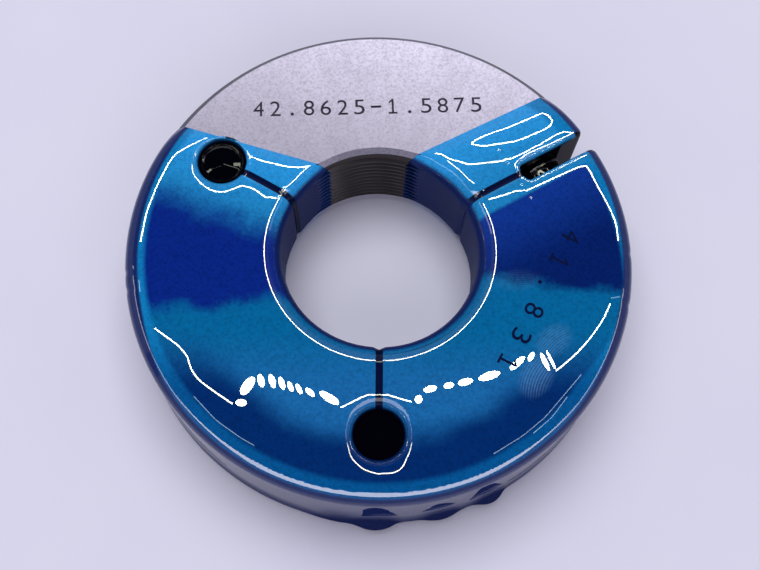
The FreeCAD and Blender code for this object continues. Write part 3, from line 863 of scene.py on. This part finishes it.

# Painted reflection: past the bead at the edge, where the face slopes, it turns pale again, a little further
# out on the right
right_hand = n.times(n.minus(1.0, left), n.ramp(y, -30.0, -8.0))
beyond = n.plus(drained, n.times(right_hand, n.math("MULTIPLY_ADD", y, 0.09, -1.6)))
colour = tint(n, n.ramp(beyond, 46.8, 48.2), colour, tint(n, front, SIDE_BLUE, RIM_BLUE))
for (middle_x, middle_y), (long, short), turn, spacing, strength in FINGERPRINTS:
    a, b = line_nodes(n, n.minus(x, middle_x), n.minus(y, middle_y), turn)
    bent = n.math("MULTIPLY_ADD", n.times(a, a), PRINT_BEND, b)
    wave = n.math("MULTIPLY_ADD", n.math("SINE", n.times(bent, tau / spacing)), *PRINT_WAVE)
    away = n.plus(n.math("POWER", n.math("DIVIDE", a, long), 2.0),
                  n.math("POWER", n.math("DIVIDE", b, short), 2.0))
    fade = n.ramp(away, 0.0, 1.0, strength, 0.0)
    colour = tint(n, n.times(wave, fade), colour, PRINT_BLUE)

# Painted shade over the split and, black, in its wide part; deep blue down the walls, partly the film seen
# edge-on and partly painted reflection of the dark surroundings
slot_shade = saw_shade_line(n, split_a, split_b, BEYOND)
colour = tint(n, slot_shade, colour, SLOT_SHADE)
brink = n.minus(n.plus(drained, n.times(left, n.ramp(y, -30.0, -8.0, 0.0, 0.6))),
                n.ramp(y, -38.0, -12.0, 50.5, 49.4))
# Down the walls and the rounding: the film seen edge-on, with painted reflection of the dark surroundings
wall_film_and_reflection = n.math("MAXIMUM", n.ramp(brink, -0.3, 0.3), n.ramp(height, 9.2, 10.0, 1.0, 0.0))
colour = tint(n, wall_film_and_reflection, colour, WALL_BLUE)
# Black painted shade down the walls inside the split's wide part
split_shade = n.times(n.math("LESS_THAN", n.math("ABSOLUTE", split_b), 2.6), n.math("LESS_THAN", drained, 50.9))
split_shade = n.times(wall_film_and_reflection, split_shade)
colour = tint(n, n.times(split_shade, n.math("GREATER_THAN", split_a, 30.0)), colour, PIT_SHADE)

# The gloss is duller, from 0 to 1, where the film is stretched thin, in the pits and on the drips
matt = [n.times(slot_shade, SAW_DULL), n.times(split_shade, 0.75), n.ramp(radius, 22.5, 23.1, 0.8, 0.0)]
for angle, pit_dull in zip(FLEX_SLOT_ANGLES, PIT_DULL):
    a, b = line_nodes(n, x, y, angle)
    # Painted shade over each flex slot's cut
    slot_shade = saw_shade_line(n, a, b, TERMINAL_HOLE_RADIUS)
    colour = tint(n, slot_shade, colour, SLOT_SHADE)
    hole = n.length(n.minus(a, TERMINAL_HOLE_RADIUS), b)
    # Black painted shade in the terminal hole's pit
    pit_shade = n.ramp(hole, *PIT_EDGE, 1.0, 0.0)
    colour = tint(n, pit_shade, colour, PIT_SHADE)
    matt += [n.times(slot_shade, SAW_DULL), n.times(pit_shade, pit_dull), n.ramp(hole, 6.6, 7.6, 0.55, 0.0)]
drip = n.ramp(drained, 51.5, 52.5)
colour = tint(n, drip, colour, DRIP_NAVY)
matt.append(drip)
dullest = matt[0]
for other in matt[1:]:
    dullest = n.math("MAXIMUM", dullest, other)
n.give(shader.inputs["Coat Weight"], n.minus(1.0, dullest))
speck = n.ramp(noise(n, spot, 1.6, 4.0, 0.75), 0.34, 0.6, 0.78, 1.08)
n.give(shader.inputs["Base Color"], scaled(n, colour, speck))
shader.inputs["Roughness"].default_value = 0.45
shader.inputs["Specular IOR Level"].default_value = 0.0
shader.inputs["Coat Roughness"].default_value = 0.015
shader.inputs["Coat IOR"].default_value = 1.6
coat.data.materials.append(blue)
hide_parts("dip_coating")
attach(coat, "root")

# The pitch diameter in plain numerals, rolled into the coated face. The film sinks into them and looks dark.
SUNK_NUMERALS = "41.831"
SUNK_START = (37.4, 3.6)
SUNK_END = (23.4, -23.2)
SUNK_TURN = -117.6
SUNK_HEIGHT = 3.9
SUNK_WIDTH = 2.5
SUNK_ABOVE = 0.012  # the film's face, so that they show
SUNK_BELOW = 0.1
SUNK_INK = (0.002, 0.006, 0.04)

places = [(x, y, SUNK_TURN) for x, y in np.linspace(SUNK_START, SUNK_END, len(SUNK_NUMERALS))]
sunk = line_of_text("sunk_numerals", SUNK_NUMERALS, places, SUNK_HEIGHT, SUNK_WIDTH, 2 * SUNK_BELOW, COAT_TOP)
points = mesh_points(sunk.data) / MM
face = on_film(points[:, :2])[:, 2]
points[:, 2] = face + np.where(points[:, 2] > COAT_TOP, SUNK_ABOVE, -SUNK_BELOW)
sunk.data.vertices.foreach_set("co", (points * MM).ravel())
sunk_film = bpy.data.materials.new("sunk_film")
sunk_film.use_nodes = True
shader = sunk_film.node_tree.nodes["Principled BSDF"]
shader.inputs["Base Color"].default_value = (*SUNK_INK, 1)
shader.inputs["Roughness"].default_value = 0.3
shader.inputs["Specular IOR Level"].default_value = 0.1
sunk.data.materials.append(sunk_film)
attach(sunk, "root")

# Screws and sleeve. Plain bright screw steel, the frame's own solids, nearly all of it under the skin.
SCREW_STEEL = ((0.3, 0.29, 0.28), (0.52, 0.51, 0.5))
for name in ("alignment_sleeve", "adjusting_screw", "locking_screw"):
    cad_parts[name].data.materials.clear()
    bright = bpy.data.materials.new(name + "_steel")
    n, shader, spot, x, y, z = painted(bright)
    shader.inputs["Metallic"].default_value = 1.0
    n.give(shader.inputs["Base Color"], tint(n, noise(n, spot, 1.2), *SCREW_STEEL))
    n.give(shader.inputs["Roughness"], n.ramp(noise(n, spot, 2.5), 0.3, 0.7, 0.25, 0.45))
    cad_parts[name].data.materials.append(bright)

# Camera, where the photograph was taken from.
CAMERA_PLACE = Vector((-4.226, -81.445, 207.751))
CAMERA_SIGHT = Vector((0.02027, 0.34767, -0.93740))
CAMERA_ROLL = 3.913
camera = link(bpy.data.objects.new("camera", bpy.data.cameras.new("camera")))
camera.location = CAMERA_PLACE * MM
camera.rotation_mode = "QUATERNION"
camera.rotation_quaternion = (CAMERA_SIGHT.to_track_quat("-Z", "Y")
                              @ Quaternion((0, 0, 1), radians(CAMERA_ROLL)))
camera.data.lens = 49.75
camera.data.clip_start = 0.01
scene.camera = camera

# Table. Pale, matt and a little lavender, on which the film's lower face rests.
TABLE_TONES = ((0.78, 0.77, 0.91), (0.84, 0.85, 0.95))
TABLE_CORNERS = ((-900, -900), (900, -900), (900, 1500), (-900, 1500))
floor = mesh_object("table", [(x, y, -COAT_TOP) for x, y in TABLE_CORNERS], [(0, 1, 2, 3)])
pale_top = bpy.data.materials.new("table")
n, shader, spot, x, y, z = painted(pale_top)
n.give(shader.inputs["Base Color"], tint(n, noise(n, spot, 0.02), *TABLE_TONES))
shader.inputs["Roughness"].default_value = 0.6
floor.data.materials.append(pale_top)

# Light. A large softbox overhead lights all. Three round it give the bare steel its shine. Small lamps that
# only the film's gloss shows stand where its face mirrors them to the camera.
LINE_HEIGHT = 15.5  # close above the film, so that a curved edge doesn't throw a second image elsewhere
WIDEST = 7.0  # of such a lamp
LONGEST = 50.0  # a longer one is left out, because there the film's edge throws its image far off
FLATTEST_RAY = 0.3  # least rise of a mirrored ray
WHITE = (0.97, 0.96, 1.0)
STRIP_WHITE = (0.97, 0.95, 1.0)
WARM = (1.0, 1.0, 0.84)
PALE = (0.6, 0.85, 1.0)


def softbox(name, place, target, width, height, radiance, colour=(1, 1, 1), turn=0, shape="RECTANGLE"):
    """A flat lamp of a plain radiance that faces its target, turned about its own axis."""
    data = bpy.data.lights.new(name, "AREA")
    data.shape = shape
    data.size, data.size_y = width * MM, height * MM
    data.energy = radiance * pi * data.size * data.size_y
    data.color = colour
    obj = link(bpy.data.objects.new(name, data))
    obj.location = Vector(place) * MM
    obj.rotation_mode = "QUATERNION"
    obj.rotation_quaternion = ((Vector(target) - Vector(place)).to_track_quat("-Z", "Y")
                               @ Quaternion((0, 0, 1), turn))
    return obj


def receivers(name, obj):
    """A collection of one object, for lamps that light nothing else."""
    made = bpy.data.collections.new(name)
    made.objects.link(obj)
    return made


overhead = softbox("overhead", (-60, 230, 850), (0, 0, 0), 760, 620, 3.7, WHITE)
overhead.visible_glossy = False
fill = softbox("front fill", (60, -650, 520), (0, 0, 0), 1000, 500, 1.1, (0.99, 0.95, 1.0))
fill.visible_glossy = False
bare = receivers("seen by the bare steel", ring)
# Name, place, width, height and radiance of the boxes that shine on the bare steel
STEEL_BOXES = (("back softbox", (120, 720, 640), 1100, 420, 3.3),
               ("left softbox", (-760, 60, 620), 420, 700, 3.6),
               ("right softbox", (760, 60, 620), 420, 700, 4.0))
for name, place, width, height, radiance in STEEL_BOXES:
    obj = softbox(name, place, (0, 20, 0), width, height, radiance, WHITE)
    obj.light_linking.receiver_collection = bare
glossy = receivers("seen by the film", coat)


def gleam(*values, **more):
    """A lamp that lights nothing and only shows in the film's gloss."""
    obj = softbox(*values, **more)
    obj.visible_diffuse = False
    obj.visible_camera = False
    obj.light_linking.receiver_collection = glossy
    return obj


def mirrored(path):
    """The places at the lamps' height that the film's face mirrors to the camera at the points of a path."""
    spots = on_film(path)
    normals = unit(gradient(spots))
    sight = unit(np.array(camera.location) / MM - spots)
    rays = 2 * (normals * sight).sum(1)[:, None] * normals - sight
    return spots + rays * ((LINE_HEIGHT - spots[:, 2]) / np.maximum(rays[:, 2], FLATTEST_RAY))[:, None]


def shine(name, path, thickness, radiance, step=1.5, shape="RECTANGLE", colour=WARM):
    """Lamps end to end that show as a line of a thickness along a path on the face."""
    path = np.array(path, float)
    legs = np.hypot(*np.diff(path, axis=0).T)
    travel = np.concatenate([[0], np.cumsum(legs)])
    stops = np.linspace(0, travel[-1], max(2, round(travel[-1] / step) + 1))
    path = np.column_stack([np.interp(stops, travel, path[:, n]) for n in (0, 1)])
    run = np.diff(path, axis=0)
    aside = np.column_stack([-run[:, 1], run[:, 0]]) / np.hypot(*run.T)[:, None] * thickness / 2
    middle = (path[1:] + path[:-1]) / 2
    places = mirrored(path)
    across = mirrored(middle + aside) - mirrored(middle - aside)
    for start, end, wide in zip(places, places[1:], across):
        run = Vector(end - start)
        width = min(run.cross(Vector(wide)).length / run.length, WIDEST)
        if run.length > LONGEST:
            continue
        centre = Vector((start + end) / 2)
        gleam(name, centre, centre - Vector((0, 0, 1)), run.length * 0.96, width, radiance, colour,
              turn=atan2(run.y, run.x), shape=shape)


def arc(first, last, start, end):
    """Points about the ring's axis, from one radius to another and from one direction to another."""
    count = 24
    angles = np.radians(np.linspace(start, end, count))
    radii = np.linspace(first, last, count)
    return np.column_stack([radii * np.cos(angles), radii * np.sin(angles)])


# Strips high above, which the film's rounded outer edge shows as the white line round the front and the sides
gleam("front strip", (0, -245, 890), (0, -245, 0), 900, 500, 8, STRIP_WHITE)
for side in (-1, 1):
    gleam("side strip", (side * 560, 90, 890), (side * 560, 90, 0), 150, 460, 5, STRIP_WHITE)

# The row of ceiling lamps: both ends and the thickness of each on the face
BLOBS = (
    (-27.5, -32.8, -25.3, -32.9, 1.6), (-26.5, -31.3, -24.2, -27.7, 2.3), (-23.2, -27.1, -22.4, -29.8, 1.5),
    (-21.2, -27.1, -20.1, -29.9, 1.5), (-19.3, -27.6, -18.3, -30.2, 1.3), (-17.6, -28.5, -16.6, -30.6, 1.1),
    (-16.0, -29.0, -14.9, -31.0, 1.1), (-14.2, -29.8, -12.4, -31.5, 1.2), (-11.5, -30.5, -7.7, -32.9, 1.8),
    (7.2, -32.5, 8.0, -31.0, 1.7), (8.5, -30.1, 11.2, -29.3, 1.5), (12.4, -29.2, 14.5, -28.7, 1.4),
    (15.2, -28.6, 18.2, -27.8, 1.6), (19.2, -27.7, 23.6, -26.2, 1.8), (25.4, -25.7, 28.5, -22.9, 1.5),
    (29.2, -23.9, 30.2, -22.0, 1.2), (31.6, -22.1, 33.2, -25.9, 1.1), (32.7, -21.5, 34.4, -25.5, 0.7),
)
for x0, y0, x1, y1, thickness in BLOBS:
    shine("ceiling lamp", [(x0, y0), (x1, y1)], thickness * 0.85, 45, step=9, shape="ELLIPSE")

# Lines that edges and hollows of the film draw out of the same lamps
BRIGHT_LINES = (
    ((-44.1, -18.1), (-39.4, -21.4), (-37.4, -23.5), (-36.5, -26.2), (-34.9, -28.4), (-31.4, -30.9),
     (-28, -33.1)),
    ((-7.4, -33.6), (-5.4, -32.6), (-3.5, -31.5), (-1.9, -31.0)), ((1.9, -31.0), (4.1, -31.7), (6.3, -32.3)),
    ((34.4, -25.8), (36.3, -24.3), (38.8, -22.1), (41.7, -18.9), (44.3, -15.3), (46.1, -11.7)),
    ((-36.4, 24.4), (-38.9, 22.9), (-42.4, 20.6), (-43.8, 18.6), (-46.1, 12.7), (-47.7, 6.9), (-48.4, 0.1)),
    ((-38.8, 19.5), (-39.3, 17.4), (-38.8, 15.6), (-37.2, 13.5), (-34.6, 11.7), (-32.1, 11.5), (-28.4, 13.2),
     (-26.1, 12.4), (-23.1, 10.1), (-21.9, 10.7), (-20.9, 10.4)),
    ((-27.9, 20.8), (-26.4, 19.5), (-24.2, 18.8), (-18.8, 17.6), (-16.6, 17.6), (-14.7, 18.2)),
    ((34.5, 31.4), (28.1, 28.2), (21.6, 25.6), (18.7, 23.8), (21.5, 23.1), (28.9, 24.5), (34.8, 27.3),
     (36.7, 28.8), (36.4, 30.4), (34.5, 31.4)),
    ((11.4, 21.5), (12.9, 21.2), (14.3, 20.1), (18.6, 18.8), (23.0, 19.3), (26.6, 19.9), (32.5, 22.9),
     (37.5, 26.3), (39.2, 27.0), (41.0, 26.6)),
    ((22.4, 10.8), (25.6, 11.8), (28.1, 12.8), (30.3, 12.9), (35.8, 15.7), (40.7, 18.2), (42.9, 19.1),
     (43.6, 18.6), (44.5, 15.9), (46.1, 12.3), (47.6, 8.8), (48.5, 5.7), (48.7, 1.9)),
)
THIN_LINES = (
    arc(23.4, 24.2, 25, -90), arc(24.2, 23.2, -90, -207),
    ((-5.9, -40.5), (-5.4, -42.9), (-3.4, -45.1), (-0.7, -46.2), (2.8, -46.0), (4.7, -45.0), (4.9, -43.8),
     (5.9, -41.8), (6.2, -40.2)),
    ((-14.7, 18.2), (-16.2, 16.6), (-17.3, 15.4), (-18.2, 13.8), (-20.3, 12.8)),
    ((-27.8, 19.8), (-27.1, 18.2)),
    ((13.9, 19.7), (16.1, 17.8), (18.2, 15.4), (19.6, 14.4)),
    ((28.2, 19.3), (29.9, 20.9), (32.1, 22.2), (35.7, 23.9), (38.4, 25.3), (40.6, 26.4)),
)
FAINT_LINES = (
    ((21.7, -42.2), (27.4, -38.7), (31.9, -35.0), (36.1, -30.2), (39.4, -26.4)),
    ((29.4, -38.2), (33.2, -35.0), (36.4, -30.9)),
    ((-35.5, -31.7), (-30.9, -36.4), (-26.2, -39.6), (-23.5, -41.1)),
    ((-48.0, -8.0), (-47.6, -10.5)), ((46.3, -10.6), (48.1, -10.2)),
)
OVER_SLOT = ((-1.9, -31.0), (1.9, -31.0))  # one lamp, because the film is hollow there
# Each kind's thickness, radiance and colour
LINE_KINDS = ((BRIGHT_LINES, 0.26, 50, WARM), (THIN_LINES, 0.18, 38, WARM), (FAINT_LINES, 0.14, 8, PALE))
for lines, thickness, radiance, colour in LINE_KINDS:
    for path in lines:
        shine("ceiling line", path, thickness, radiance, colour=colour)
shine("ceiling line", OVER_SLOT, 0.26, 50, step=4)

# Room. Pale all round, dark straight above, as behind the camera.
ROOM = (0.86, 0.84, 1.0)
CEILING = (0.02, 0.02, 0.05)
world = bpy.data.worlds.new("room")
scene.world = world
world.use_nodes = True
n = Tree(world.node_tree)
background = world.node_tree.nodes["Background"]
rise = n.split(n.node("ShaderNodeTexCoord").outputs["Generated"])[2]
n.give(background.inputs["Color"], tint(n, n.ramp(rise, 0.74, 0.86), ROOM, CEILING))
background.inputs["Strength"].default_value = 0.38
